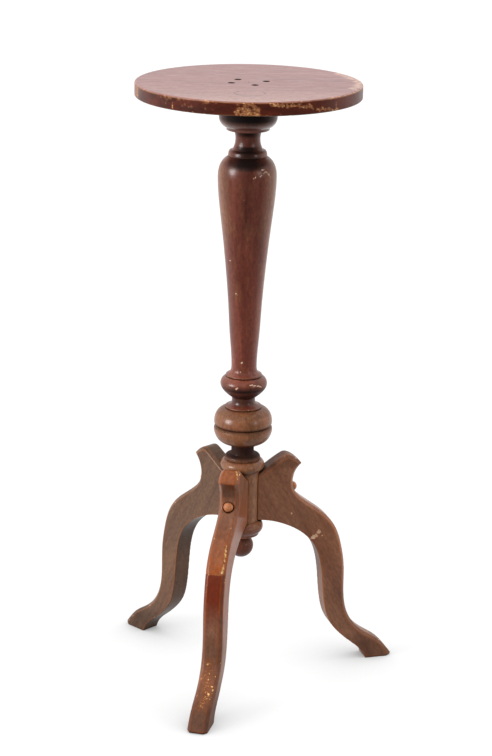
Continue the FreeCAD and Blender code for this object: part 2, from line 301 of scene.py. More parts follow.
def cut_outline(piece):
    """Leaves only the outline of half a section through the upright axis."""
    along = Vector((math.cos(CUT_ANGLE), math.sin(CUT_ANGLE), 0))
    across = Vector((-along.y, along.x, 0))
    only(piece)
    bpy.ops.object.mode_set(mode="EDIT")
    bpy.ops.mesh.select_all(action="SELECT")
    bpy.ops.mesh.bisect(plane_co=(0, 0, 0), plane_no=across, clear_inner=True, clear_outer=True)
    bpy.ops.mesh.select_all(action="SELECT")
    bpy.ops.mesh.bisect(plane_co=(0, 0, 0), plane_no=along, clear_inner=True)
    bpy.ops.mesh.select_all(action="SELECT")
    bpy.ops.mesh.remove_doubles(threshold=FINE)


def round_corners(piece):
    """Rounds the outline's sharp corners."""
    outline = bmesh.from_edit_mesh(piece.data)
    bpy.ops.mesh.select_all(action="DESELECT")
    bpy.ops.mesh.select_mode(type="VERT")
    for point in outline.verts:
        if len(point.link_edges) == 2:
            one, two = (edge.other_vert(point).co - point.co for edge in point.link_edges)
            point.select = math.pi - one.angle(two, math.pi) > CORNER_TURN
    outline.select_flush_mode()
    bmesh.update_edit_mesh(piece.data)
    bpy.ops.mesh.bevel(offset=CORNER_ROUND, segments=CORNER_STEPS, affect="VERTICES", clamp_overlap=True)


print("corners rounded by mm:", round(CORNER_ROUND / MM, 2))

# %% [markdown]
# ## Turning on the lathe
#
# Blender's Spin does what the lathe does. Before it, long straight runs of the outline are divided,
# because dents and wear need points to live on. A ring of edges could be cut into the finished solid
# instead, but on the outline one cut serves the whole turn.

# %% Turn the round pieces


def divide_runs(piece, longest, beyond=0.0):
    """Halves the outline's edges until none further out than asked is longer than asked."""
    while True:
        outline = bmesh.from_edit_mesh(piece.data)
        bpy.ops.mesh.select_all(action="DESELECT")
        bpy.ops.mesh.select_mode(type="EDGE")
        long_runs = [edge for edge in outline.edges if edge.calc_length() > longest
                     and min(point.co.to_2d().length for point in edge.verts) >= beyond]
        if not long_runs:
            return
        for edge in long_runs:
            edge.select = True
        outline.select_flush_mode()
        bmesh.update_edit_mesh(piece.data)
        bpy.ops.mesh.subdivide(number_cuts=1)


def spin_outline(piece, steps):
    """Spins the outline into a closed solid and turns its faces outwards."""
    bpy.ops.mesh.select_all(action="SELECT")
    bpy.ops.mesh.spin(steps=steps, angle=2 * math.pi, center=(0, 0, 0), axis=(0, 0, 1))
    bpy.ops.mesh.select_all(action="SELECT")
    bpy.ops.mesh.remove_doubles(threshold=MERGE)
    bpy.ops.mesh.normals_make_consistent(inside=False)
    bpy.ops.object.mode_set(mode="OBJECT")


def turn(node, name, steps, longest, rim=0.0, rim_longest=None):
    """A turned piece with the outline of a packed one, divided finer beyond the rim."""
    piece = blank_from(node, name)
    cut_outline(piece)
    round_corners(piece)
    divide_runs(piece, longest)
    divide_runs(piece, rim_longest or longest, rim)
    spin_outline(piece, steps)
    print(name, "triangles:", sum(len(face.vertices) - 2 for face in piece.data.polygons))
    return piece


collar = turn("top_collar", "turned_collar", steps=144, longest=2 * MM)
column = turn("column_shaft", "turned_column", steps=160, longest=2 * MM)
post = turn("base_post", "turned_post", steps=144, longest=2 * MM)
finial = turn("drop_finial", "turned_finial", steps=80, longest=1.5 * MM)

# %% [markdown]
# ## Flats and bores in the post
#
# Each leg stands on a flat that was planed on the round post, and is held by a screw and two dowels.
# The quickest cutters are the pieces themselves: copies of the legs, dowels and screws are joined and
# taken away from the post with a Boolean, so that every flat and bore fits what goes in it.

# %% Cut the flats and bores
SIDES = ("front", "right", "left")


def apply_modifier(piece, kind, **settings):
    """Adds one modifier with its settings and applies it."""
    only(piece)
    modifier = piece.modifiers.new(kind.lower(), kind)
    for key, value in settings.items():
        setattr(modifier, key, value)
    bpy.ops.object.modifier_apply(modifier=modifier.name)


def cut_away(piece, cutters):
    """Takes a list of cutters away from a piece, and deletes the cutters."""
    only(cutters[0])
    for cutter in cutters:
        cutter.select_set(True)
    bpy.ops.object.join()
    tool = bpy.context.object
    apply_modifier(piece, "BOOLEAN", object=tool, operation="DIFFERENCE", solver="EXACT")
    bpy.data.objects.remove(tool)


in_the_post = []
for side in SIDES:
    for ending in ("", "_screw", "_dowel_upper", "_dowel_lower"):
        in_the_post.append(blank_from(f"leg_{side}{ending}", f"cutter_{side}{ending}"))
cut_away(post, in_the_post)
print("post faces after cutting:", len(post.data.polygons))

# %% [markdown]
# ## The round top
#
# The top is one flat disc. It is spun too, with many steps, because its rim carries the worst wear
# and each chip needs a few points of its own. The four screw wells were bored from above with a bit
# a little wider than the screw heads, so four short drill cutters take them out again.

# %% Turn the top and bore its wells
WELL_GAP = 0.3 * MM
WELL_SIDES = 48


def corners_of(piece):
    """The lowest and the highest corner of the box around a piece."""
    low, high = ([pick(axis) for axis in zip(*piece.bound_box)] for pick in (min, max))
    return Vector(low), Vector(high)


top = turn("top_board", "round_top", steps=480, longest=6 * MM, rim=150 * MM, rim_longest=1.3 * MM)
top_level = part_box("top_board")[1].z
only(blank_from("top_screws", "screw_guide"))
bpy.ops.mesh.separate(type="LOOSE")
screws = list(bpy.context.selected_objects)
drills = []
for screw in screws:
    low, high = corners_of(screw)
    bpy.ops.mesh.primitive_cylinder_add(
        vertices=WELL_SIDES, radius=(high.x - low.x) / 2 + WELL_GAP, depth=2 * (top_level - high.z),
        location=((low.x + high.x) / 2, (low.y + high.y) / 2, top_level))
    drills.append(bpy.context.object)
cut_away(top, drills)
cut_away(top, screws)
print("wells bored:", len(drills), "top faces:", len(top.data.polygons))

# %% [markdown]
# ## The scroll legs
#
# The legs are sawn from board and their outer edges are planed to a chamfer. All three are the same,
# so the front one is made once and its copies are turned about the column.
# A bevel would give each arris one even width. Old arrises are uneven and their corners are dulled,
# so the blank is remeshed into even small faces and smoothed a few times, which rounds every edge.
# A sawyer lays the grain along the leg's slant, so each point also keeps its place in its board.

# %% Shape the legs
import numpy as np

LEG_GRAIN = 1.05 * MM
LEG_RUBBING = 4
LEG_TURN = math.radians(120)
BOARD_SLANT = math.radians(28)
BOARD_STEP = 0.4

pattern_leg = blank_from("leg_front", "pattern_leg")
apply_modifier(pattern_leg, "REMESH", mode="VOXEL", voxel_size=LEG_GRAIN)
apply_modifier(pattern_leg, "SMOOTH", factor=0.5, iterations=LEG_RUBBING)


def leg_from_board(turns, side):
    """A copy of the pattern leg turned to its side, with its points' places in a board of its own."""
    leg = bpy.data.objects.new(f"scroll_leg_{side}", pattern_leg.data.copy())
    bpy.context.scene.collection.objects.link(leg)
    shift = Vector((turns * BOARD_STEP, 0, 0))
    slant = Matrix.Rotation(BOARD_SLANT, 3, "X")
    slanted = [slant @ point.co + shift for point in leg.data.vertices]
    board = leg.data.attributes.new("board", "FLOAT_VECTOR", "POINT")
    board.data.foreach_set("vector", np.array(slanted).ravel())
    leg.data.transform(Matrix.Rotation(turns * LEG_TURN, 4, "Z"))
    print(leg.name, "faces:", len(leg.data.polygons))
    return leg


legs = {side: leg_from_board(turns, side) for turns, side in enumerate(SIDES)}
bpy.data.objects.remove(pattern_leg)

# %% [markdown]
# ## Measuring where hands and dusters rub
#
# Stain wears off the edges that stand out. They can be read from how the surface bends: at a point
# on an edge, its neighbours all lie behind it. The bend is worked out for every point, spread a
# little, and kept on the mesh as an attribute that the finishes read.

# %% Measure a bend
FULL_BEND = {"turned": 0.22, "sawn": 0.09}
BEND_SPREAD = 2
# These keep a division from failing at two points in one place and at a point with no edge.
NO_LENGTH, NO_EDGES = 1e-12, 1e-9


def places_of(piece):
    """The piece's points and the way each one faces, as two arrays."""
    count = len(piece.data.vertices)
    places = np.empty(count * 3)
    facing = np.empty(count * 3)
    piece.data.vertices.foreach_get("co", places)
    piece.data.vertices.foreach_get("normal", facing)
    return places.reshape(-1, 3), facing.reshape(-1, 3)


def measure_edges(piece, way):
    """How far each point stands out on an edge, from 0 to 1."""
    places, facing = places_of(piece)
    ends = np.empty(len(piece.data.edges) * 2, dtype=int)
    piece.data.edges.foreach_get("vertices", ends)
    one, two = ends.reshape(-1, 2).T
    step = places[two] - places[one]
    length = (step ** 2).sum(1) + NO_LENGTH
    total = np.zeros(len(places))
    np.add.at(total, one, -(facing[one] * step).sum(1) / length)
    np.add.at(total, two, (facing[two] * step).sum(1) / length)
    count = np.bincount(ends, minlength=len(places)) + NO_EDGES
    bend = total / count * MM
    for _ in range(BEND_SPREAD):
        total = bend * count
        np.add.at(total, one, bend[two])
        np.add.at(total, two, bend[one])
        bend = total / (2 * count)
    return np.clip(bend / FULL_BEND[way], 0, 1)


print("bend of a full edge, in 1/mm:", FULL_BEND)

# %% Measure the edges
SCREW_GROUND = 60
COLLAR_RUB = 0.5
SHARP = 0.6


def keep(piece, name, values):
    """Stores one number for each point of a piece."""
    attribute = piece.data.attributes.get(name) or piece.data.attributes.new(name, "FLOAT", "POINT")
    attribute.data.foreach_set("value", np.asarray(values, dtype=np.float32))


edges_of = {piece.name: measure_edges(piece, "turned") for piece in (collar, column, post, finial, top)}
edges_of.update({leg.name: measure_edges(leg, "sawn") for leg in legs.values()})
# The lips of the screw wells are covered by nothing but grime, so they count as no edge.
on_the_flat = np.linalg.norm(places_of(top)[0][:, :2], axis=1) < SCREW_GROUND * MM
edges_of[top.name][on_the_flat] = 0
# Under the top the collar is out of reach of most hands.
edges_of[collar.name] *= COLLAR_RUB
for piece in (collar, column, post, finial, top, *legs.values()):
    edge = edges_of[piece.name]
    keep(piece, "edge", edge)
    print(piece.name, "points on a sharp edge:", int((edge > SHARP).sum()), "of", len(edge))

# %% [markdown]
# ## Chips, rubs and knocks
#
# Some damage goes through the varnish into pale wood. Each spot has a place, a size, how far the
# finish is gone, and a depth. The points near its middle sink along their own facing, and the loss is
# kept as an attribute, so that the finish turns rubbed and then bare just there.
# A chip has a hard border and a rub a soft one, both made ragged by noise.

# %% Wear spots into a piece
from mathutils import noise

RAGGED = 0.5
CHIP_BORDER, RUB_BORDER = 0.35, 0.9
WEAR_GRIT = 2.4 * MM


def age(piece, spots):
    """Wears spots, each a centre and a radius in mm, a loss from 0 to 1 and a depth in mm."""
    places, facing = places_of(piece)
    loss = np.zeros(len(places))
    sink = np.zeros(len(places))
    for centre, radius, lost, depth in spots:
        border = CHIP_BORDER if depth else RUB_BORDER
        nearest = np.argmin(np.linalg.norm(places - np.array(centre) * MM, axis=1))
        away = np.linalg.norm(places - places[nearest], axis=1) / (radius * MM)
        for at in np.nonzero(away < 1 + RAGGED)[0]:
            rough = RAGGED * noise.noise(Vector(places[at]) / WEAR_GRIT)
            share = min(max((1 + rough - away[at]) / border, 0), 1)
            loss[at] = max(loss[at], share * lost)
            sink[at] = max(sink[at], share * depth)
    places -= facing * sink[:, None] * MM
    # A sunk point never goes below the floor.
    places[:, 2] = np.clip(places[:, 2], 0, None)
    piece.data.vertices.foreach_set("co", places.ravel())
    piece.data.update()
    keep(piece, "wear", loss)
    print(piece.name, "worn spots:", len(spots))


print("grit of a ragged border, in mm:", WEAR_GRIT / MM)

# %% [markdown]
# ## Nicks and scratches
#
# Nicks fall at random on the measured edges, where a knock does the most harm. A scratch is a row of
# small spots that lost more in one place than in the next. Placing each by hand would take hundreds of
# numbers, so chance does it, and a fixed seed keeps every one of them in its place.

# %% Nick and scratch
import random

NICK_LEAST, NICK_LOSSES, NICK_DEPTH = 0.8, (0.4, 0.9), 0.25
SCRATCH_LOSSES, SCRATCH_DEPTH = (0.4, 0.8), 0.12
chance = random.Random(7)


def nicks(piece, count, largest):
    """Small chips at random places on a piece's edges."""
    places, _ = places_of(piece)
    sharp = [int(at) for at in np.nonzero(edges_of[piece.name] > SHARP)[0]]
    return [(places[at] / MM, chance.uniform(NICK_LEAST, largest), chance.uniform(*NICK_LOSSES), NICK_DEPTH)
            for at in chance.sample(sharp, min(count, len(sharp)))]


def scratch(start, end, width, losses=SCRATCH_LOSSES):
    """A thin scratch between two places, as a row of small spots."""
    run = Vector(end) - Vector(start)
    count = max(2, int(run.length / width))
    return [(Vector(start) + run * step / count, width, chance.uniform(*losses), SCRATCH_DEPTH)
            for step in range(count + 1)]


print("nicks are at least mm wide:", 2 * NICK_LEAST)

# %% [markdown]
# ## The rim's wear
#
# The rim of the top took the most knocks. At the front the stain is flaked off over the whole height,
# to its right a broken row of flakes runs down to the lower edge, and the left end is rubbed through.
# Painting each flake would take hundreds of points, so wide spots only thin the finish
# here, and the fine noise of the finish later breaks them up into flakes.

# %% Spots on the rim
top_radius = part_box("top_board")[1].x / MM
top_height = top_level / MM


def on_rim(angle, drop, inset=0.0):
    """A point on the rim or in from it, by its angle in degrees and its drop below the top in mm."""
    turned = math.radians(angle)
    reach = top_radius - inset
    return (reach * math.cos(turned), reach * math.sin(turned), top_height - drop)


def drawn(value):
    """A number as it is, or one drawn between two limits."""
    return chance.uniform(*value) if isinstance(value, tuple) else value


def rim_spot(angle, drop, size, loss, depth=0.0, inset=0.0):
    """A worn spot on the rim; each of its values is a number or two limits to draw between."""
    centre = on_rim(drawn(angle), drawn(drop), drawn(inset))
    return (centre, drawn(size), drawn(loss), depth)


print("rim radius and height in mm:", round(top_radius, 1), round(top_height, 1))

# %% [markdown]
# ## The front of the rim
#
# The flakes at the front lie close together, so they are set out on a loose grid and in two rows.
# Each one is then shifted a little, because a straight row would look machined.

# %% Flake the front of the rim
FLAKED_ANGLES, FLAKED_DROPS = (-80, -78, -76, -74, -72), (4, 9, 14, 18)
FLAKED_SHIFT, FLAKED_WAVER = (-1, 1), (-2, 2)
FLAKED_SIZES = (2.5, 5)
FLAKED_LOSS, LOSS_BY_DROP = 0.38, 0.011
ROW_SHIFT, ROW_SIZES = (-0.6, 0.6), (1.8, 3.2)
FLAKE_DEPTH = 0.15


def flake_row(count, angles, drops, waver, losses):
    """A broken row of flakes from one place on the rim to another."""
    row = []
    for flake in range(count):
        angle = angles[0] + (angles[1] - angles[0]) * flake / (count - 1) + drawn(ROW_SHIFT)
        drop = drops[0] + (drops[1] - drops[0]) * flake / (count - 1) + drawn((-waver, waver))
        row.append(rim_spot(angle, drop, ROW_SIZES, losses, FLAKE_DEPTH))
    return row


rim_wear = nicks(top, 40, 1.8)
for angle in FLAKED_ANGLES:
    for drop in FLAKED_DROPS:
        centre = on_rim(angle + drawn(FLAKED_SHIFT), drop + drawn(FLAKED_WAVER))
        loss = FLAKED_LOSS + LOSS_BY_DROP * drop
        rim_wear.append((centre, drawn(FLAKED_SIZES), loss, FLAKE_DEPTH))
rim_wear += flake_row(26, (-65, -44), (3.5, 8), waver=1.8, losses=(0.42, 0.62))
rim_wear += flake_row(18, (-43, -27), (11, 18), waver=1.5, losses=(0.4, 0.58))
print("spots on the front of the rim:", len(rim_wear))

# %% [markdown]
# ## The rest of the rim
#
# Elsewhere the rim is rubbed at the left end, scratched twice and flaked here and there all round.
# The flat near the right end is rubbed pale, with specks and a chipped arris. These have no order,
# so they are scattered between limits.

# %% Wear the rest of the rim
for drop in (4, 9, 14):
    for angle in (-161, -157, -152.5, -149):
        rim_wear.append(rim_spot(angle, drop, size=6.5, loss=0.6))
for angle in (-121, -118, -112, -97, -95):
    rim_wear.append(rim_spot(angle, (1, 4), size=(3, 6), loss=0.48))
for _ in range(16):
    rim_wear.append(rim_spot((-128, -84), (2, 12), size=(1, 2.4), loss=(0.25, 0.42), depth=0.1))
rim_wear += scratch(on_rim(-115.5, 10), on_rim(-115.5, 16), 1.2)
rim_wear += scratch(on_rim(-28, 8), on_rim(-27.6, 12), 1.2)
# Away from the picture's side the rim has the same scattered flakes.
for _ in range(60):
    rim_wear.append(rim_spot((0, 195), (2, 17), size=(1, 3.5), loss=(0.3, 0.6), depth=0.12))
# The flat near the right end is rubbed, specked and chipped along its arris.
for angle in range(-2, 50, 2):
    rim_wear.append(rim_spot(angle, 0, size=(5, 10), loss=(0.55, 0.8), inset=(3, 13)))
for _ in range(16):
    rim_wear.append(rim_spot((-10, 60), 0, size=(1, 2.6), loss=(0.6, 0.9), depth=0.08, inset=(1, 9)))
for _ in range(26):
    rim_wear.append(rim_spot((-32, 12), (0, 2), size=(1, 2.4), loss=(0.5, 0.9), depth=0.2, inset=(0, 2)))
age(top, rim_wear)

# %% [markdown]
# ## The column's wear
#
# The column was knocked rather than rubbed: a few short scratches on the shoulder of the vase, some
# chips down the taper, and a pale streak on the knop. They are few enough to be placed one by one.
# The post and the finial only have nicks.

# %% Wear the column
CHIP_LOSS, CHIP_DEPTH = 0.8, 0.3

column_wear = nicks(column, 14, 1.6)
for start, end in (((32.8, -24.1, 778), (26, -32, 772)), ((39.5, -14.9, 768), (35, -23, 776)),
                   ((22, -35.5, 772), (18.1, -37.9, 770)), ((29, -26.6, 782), (33, -23, 778))):
    column_wear += scratch(start, end, 1.4)
column_wear += scratch((17.6, -28.6, 462), (29.5, -14.7, 456), 1.3, losses=(1.0, 1.2))
for centre, radius in (((0.9, -18.7, 491), 2.0), ((-0.3, -18.9, 477), 1.3), ((5.5, -40.7, 738), 1.3),
                       ((-17, -25.4, 645), 2.0), ((-7.4, -25, 597), 1.4), ((-5, -25.8, 595), 1.1),
                       ((-2, -34.3, 456), 2.0)):
    column_wear.append((centre, radius, CHIP_LOSS, CHIP_DEPTH))
age(column, column_wear)
age(post, nicks(post, 10, 1.5))
age(finial, nicks(finial, 3, 1.2))

# %% [markdown]
# ## The legs' wear
#
# Shoes and vacuum hoses meet the legs low down, so the front foot is scuffed in many fine specks.
# The knee has lost flakes along one arris, and the right leg one clear chip down to pale wood.

# %% Wear the legs
# The scuff follows the slope of the foot, from its toe upwards.
SCUFF_LEVELS = range(30, 80, 6)
SCUFF_TOE, SCUFF_SLOPE = 214, 0.95
SCUFF_SIZE, SCUFF_LOSS = 13, 0.48

front_wear = nicks(legs["front"], 30, 1.7)
front_wear += scratch((9, -70, 340.5), (13.8, -79, 333.2), 1.6)
front_wear += scratch((12.2, -66, 340.4), (14.2, -72, 336.4), 1.4)
front_wear += scratch((-10, -149.2, 209.5), (9, -149.6, 210), 0.9, losses=(0.4, 0.6))
front_wear += scratch((9.6, -124.5, 245), (10.6, -147.4, 214), 2.4, losses=(0.4, 0.9))
for centre, radius in (((5.9, -196.3, 43), 2.2), ((9.5, -190.3, 47), 2.4), ((8, -186.8, 51), 1.6)):
    front_wear.append((centre, radius, 0.9, 0.35))
for level in SCUFF_LEVELS:
    outward = SCUFF_TOE - (level - SCUFF_LEVELS.start) * SCUFF_SLOPE
    front_wear.append(((chance.uniform(-3, 3), -outward, level), SCUFF_SIZE, SCUFF_LOSS, 0.0))
age(legs["front"], front_wear)

right_wear = nicks(legs["right"], 30, 1.7)
for centre, radius in (((102.7, 42.1, 208.7), 4.4), ((105.7, 43.8, 211), 3.4), ((108.7, 45.6, 215.5), 4.4),
                       ((114.7, 48.9, 209), 1.6), ((71.2, 23.8, 249), 1.8), ((177.5, 106.3, 36), 2.6)):
    right_wear.append((centre, radius, 1.0, 0.3))
age(legs["right"], right_wear)
age(legs["left"], nicks(legs["left"], 30, 1.7))

# %% [markdown]
# ## Where the colour shifts
#
# The stain isn't one colour over the whole stand, and neither is the light on it. Under the top and in
# the necks it is painted nearly black with shade, and the bulb and the post are worn to a warm brown
# and painted lighter where more light reaches them. These slow shifts follow no noise, so they are
# laid on as soft bands. Two numbers are kept for each point: a tone, which is lighter above 0 and
# darker below it, for wear and for painted light and shade, and a share of old dirt and painted shade.

# %% Ways to tint a piece
TINT_BORDER = 0.5


def soft(away):
    """1 well inside a spot and 0 at its edge; away is the distance as a share of its reach."""
    return np.clip((1 - away) / TINT_BORDER, 0, 1)


def at_height(piece, height, reach):
    """The share of a level band at each point of a piece, with its height and reach in mm."""
    return soft(np.abs(places_of(piece)[0][:, 2] / MM - height) / reach)


def bands(piece, *rows):
    """Level bands added up, each one given as a strength, a height and a reach."""
    return sum(strength * at_height(piece, height, reach) for strength, height, reach in rows)


def turned_to(piece, angle):
    """1 for the points of a turned piece that lie towards an angle, down to 0 a quarter turn away."""
    level = places_of(piece)[0][:, :2]
    way = np.array((math.cos(math.radians(angle)), math.sin(math.radians(angle))))
    return np.clip(level @ way / (np.linalg.norm(level, axis=1) + MERGE), 0, 1)


def tint(piece, tone, dirt_and_shade):
    """Keeps a tone from -1 to 1 and a share of old dirt and painted shade on a piece."""
    keep(piece, "tone", np.clip(tone, -1, 1))
    keep(piece, "dirt_and_shade", np.clip(dirt_and_shade, 0, 1))
    print(piece.name, "tone from", round(float(tone.min()), 2), "to", round(float(tone.max()), 2))


print("soft border of a band, as a share of its reach:", TINT_BORDER)

# %% [markdown]
# ## Tints of the turned pieces
#
# The column's two sides are painted lighter for the lamps at the sides, and its middle darker where it
# faces the camera. Painted shade darkens the collar under the top, the shoulder under the ring, the
# ring, the cove above it, the neck under the collar, a band on the knop, the waist under the knop and
# the left of the taper, and the grooves hold dirt and painted shade together. The lower collar is
# painted lighter for the sheen it reflects, and the bulb and the post are worn warm and painted lighter
# for the light that reaches them lower down. The bands are set by the heights of the turned forms, and
# those on one side only are faded round the axis.

# %% Tint the collar and the column
LEFT_SIDE, RIGHT_SIDE, FRONT_SIDE = 194, 14, -76

# Painted shade under the top darkens the collar's upper part, less at its sides, and a band on its lower part
# is painted lighter for the sheen it reflects.
collar_sides = np.maximum(turned_to(collar, LEFT_SIDE), turned_to(collar, RIGHT_SIDE))
collar_shade = bands(collar, (0.97, 858, 16)) * (1 - 0.7 * collar_sides ** 4)
tint(collar, bands(collar, (0.4, 841, 12)), collar_shade)

# These bands are painted light and shade, except that the grooves also hold dirt and the bulbs are also worn.
before = turned_to(column, FRONT_SIDE)
to_left = turned_to(column, LEFT_SIDE) ** 2
to_right = turned_to(column, RIGHT_SIDE) ** 2
flank_light_front_shade = (0.9 * to_left + 0.9 * to_right - 0.3 * before ** 4) * at_height(column, 735, 80)
bulbs_worn_and_lit = bands(column, (0.9, 402, 26), (0.1, 456, 22))
neck_shade = before ** 2 * bands(column, (1.0, 788, 10), (0.6, 799, 6), (0.5, 818, 26))
waist_shade = bands(column, (0.7, 432, 14))
left_taper_shade = to_left * bands(column, (0.3, 585, 90))
groove_dirt_and_shade = bands(column, (0.5, 446, 10), (0.2, 416, 8), (0.5, 391, 6))
moulding_shade = before ** 2 * bands(column, (0.8, 790, 7), (0.95, 806, 6), (0.9, 831, 9), (0.45, 453, 6))
tint(column, flank_light_front_shade + bulbs_worn_and_lit - neck_shade - waist_shade - left_taper_shade, groove_dirt_and_shade + moulding_shade)

# %% Tint the post, the finial and the top
WELL_LIP = 0.3 * MM
FLAT_LIP = 0.2 * MM

# The post is worn warm and painted lighter for the light that reaches it, and painted shade and dirt darken a
# band below the bulb and the groove of the joint.
post_worn_and_lit = bands(post, (0.9, 380, 18), (1.2, 280, 60), (0.7, 336, 14))
tint(post, post_worn_and_lit, bands(post, (0.85, 352, 14), (0.4, 391, 5)))
tint(finial, bands(finial, (0.3, 215, 30)), bands(finial, (0.35, 215, 40)))
# The screw wells and the turner's centre hold old dirt and are painted in shade.
top_places, _ = places_of(top)
in_the_wells = on_the_flat * (top_places[:, 2] < top_level - WELL_LIP)
# The side of the top towards the camera is painted a little paler, for the sheen it shows.
camera_side_sheen = np.clip(top_places @ np.array(EYE_SIDE) / (top_radius * MM), 0, 1)
camera_side_sheen = camera_side_sheen * (top_places[:, 2] > top_level - FLAT_LIP)
tint(top, 0.55 * camera_side_sheen ** 2 - in_the_wells, 0.8 * in_the_wells)

# %% [markdown]
# ## Tints of the legs
#
# The front leg was rubbed most: its knee is bare orange wood above a clear line, and below the line the
# varnish is deep and red. The faces of the legs that look back at the column are painted in shade, and
# the feet are darker towards the floor. The front leg's right flank is painted lighter for the light it
# catches, and the hollow above its button is painted in shade. A leg has no axis to turn about, so here
# the way a face looks decides.

# %% Dirt on the legs
FOOT_TOP, FOOT_DARK = 58, 26
FOOT_DARKENING, BACK_SHADE = 0.45, 0.3
LEG_ANGLES = {"front": -90, "right": 30, "left": 150}


def around(piece, centre, reach):
    """The share of a round spot at each point of a piece."""
    return soft(np.linalg.norm(places_of(piece)[0] - np.array(centre) * MM, axis=1) / (reach * MM))


def facing_to(piece, angle):
    """How squarely each point of a piece faces a level direction, given as an angle in degrees."""
    way = np.array((math.cos(math.radians(angle)), math.sin(math.radians(angle)), 0))
    return np.clip(places_of(piece)[1] @ way, 0, 1)


def dirt_and_shade_on(side, more):
    """Darkening on a leg's foot towards the floor, painted shade on the faces that look back at the column,
    or more where given.
    """
    leg = legs[side]
    height = places_of(leg)[0][:, 2] / MM
    foot = FOOT_DARKENING * np.clip((FOOT_TOP - height) / (FOOT_TOP - FOOT_DARK), 0, 1)
    back = BACK_SHADE * np.clip(facing_to(leg, LEG_ANGLES[side] + 180) * 2 - 0.4, 0, 1)
    return np.maximum(np.maximum(foot, back), more)


print("feet are dark below mm:", FOOT_TOP)

# %% Tint the legs
KNEE_LINE, KNEE_TOP, SHIN_END = 210, 272, 125
SHIN_DEEP = 1.8
POCKET_HALF, POCKET_FADE, POCKET_SHADE = 11, 3, 0.45

front, right, left = (legs[side] for side in SIDES)
places, facing = places_of(front)
height = places[:, 2] / MM
knee = np.clip((KNEE_TOP - height) / (KNEE_TOP - KNEE_LINE), 0, 1) * (height > KNEE_LINE)
shin = np.clip(SHIN_DEEP * (height - SHIN_END) / (KNEE_LINE - SHIN_END), 0, 1) * (height <= KNEE_LINE)
outside = np.clip(-facing[:, 1] * 2, 0, 1)
# The hollow above the button is painted in shade, except along its two arrises.
inside_arris = np.clip((POCKET_HALF - np.abs(places[:, 0]) / MM) / POCKET_FADE, 0, 1)
pocket = at_height(front, 314, 18) * inside_arris * outside
# The right flank is painted lighter for the light and sheen it catches.
lit_flank = facing_to(front, 0) ** 2 * at_height(front, 205, 110)
front_tone = outside * (knee - shin) + 0.6 * around(front, (0, -80, 334), 24) + 0.6 * lit_flank
tint(front, front_tone, dirt_and_shade_on("front", POCKET_SHADE * pocket + 0.3 * around(front, (0, -180, 92), 40)))
right_darkening = bands(right, (0.35, 335, 16), (0.2, 80, 50))
tint(right, 0.2 * around(right, (120, 62, 205), 60), dirt_and_shade_on("right", right_darkening))
tint(left, 0.15 * around(left, (-125, 57, 105), 75), dirt_and_shade_on("left", 0.12))

# %% [markdown]
# ## Stain
#
# The wood is mahogany, or a plainer timber stained like it. The eye reads it in layers, and the lowest
# is a slow drift between deep and warm stain, with the rubbed and dark places and the painted light and
# shade laid on it. It is drawn from the piece's own coordinates, or from its place in the board, with
# noise that is long along the grain and short across it. The painted tone comes under the grain, so
# that no place turns flat.

# %% Stain
RUBBED_AND_LIT_MOST, DARK_AND_SHADED_MOST = 0.9, 0.93


def grain_of(tree, here, along):
    """A function that draws noise out along the grain, by its real size in mm."""
    def streaks(across, length, detail):
        size = [across * MM] * 3
        size[along] = length * MM
        place = add(tree, "Mapping", {"vector_type": "TEXTURE", "Scale": size}, {"Vector": here})
        return add(tree, "TexNoise", {"Scale": 1.0, "Detail": detail, "Roughness": 0.6}, {"Vector": place})
    return streaks


def stained(tree, streaks, patchy, deep, warm, rubbed_and_lit, dark_and_shaded):
    """The colour of the stain, with its rubbed and dark places, its painted light and shade, and as many
    rubbed patches as asked.
    """
    drift = add(tree, "MapRange", {"From Min": 0.32, "From Max": 0.68}, {"Value": streaks(22, 240, 3)})
    colour = add(tree, "MixRGB", {"Color1": linear(deep), "Color2": linear(warm)}, {"Fac": drift})
    tone = add(tree, "Attribute", {"attribute_name": "tone"}, out="Fac")
    above = add(tree, "MapRange", {"To Max": RUBBED_AND_LIT_MOST}, {"Value": tone})
    uneven = add(tree, "MapRange", {"From Min": 0.35, "From Max": 0.65, "To Min": 0.5, "To Max": 1.15},
                 {"Value": streaks(5, 10, 5)})
    above = add(tree, "Math", {"operation": "MULTIPLY", "use_clamp": True}, {0: above, 1: uneven})
    patches = add(tree, "MapRange", {"From Min": 0.5, "From Max": 0.72, "To Max": patchy},
                  {"Value": streaks(13, 34, 4)})
    above = add(tree, "Math", {"operation": "MAXIMUM"}, {0: above, 1: patches})
    colour = add(tree, "MixRGB", {"Color2": linear(rubbed_and_lit)}, {"Fac": above, "Color1": colour})
    below = add(tree, "MapRange", {"From Max": -1.0, "To Max": DARK_AND_SHADED_MOST}, {"Value": tone})
    return add(tree, "MixRGB", {"Color2": linear(dark_and_shaded)}, {"Fac": below, "Color1": colour})


print("stain at its most rubbed and its darkest:", RUBBED_AND_LIT_MOST, DARK_AND_SHADED_MOST)

# %% [markdown]
# ## Grain
#
# Over the stain lie a cloudy mottle a few millimetres across, fine lines along the grain, the rings a
# chisel leaves, and dark pores. Real pores are a tenth of a millimetre wide and would vanish in the
# picture, so they are drawn about ten times as coarse.

# %% Grain
# This near-black serves the pores, the glass ring, and the grime and painted shade.
GRIME_AND_SHADE = linear("120907")
LINE_PALE, LINE_DARK = 1.06, 0.16
PORE_DARK = 0.4
MULTIPLY = {"blend_type": "MULTIPLY", "Fac": 1.0}


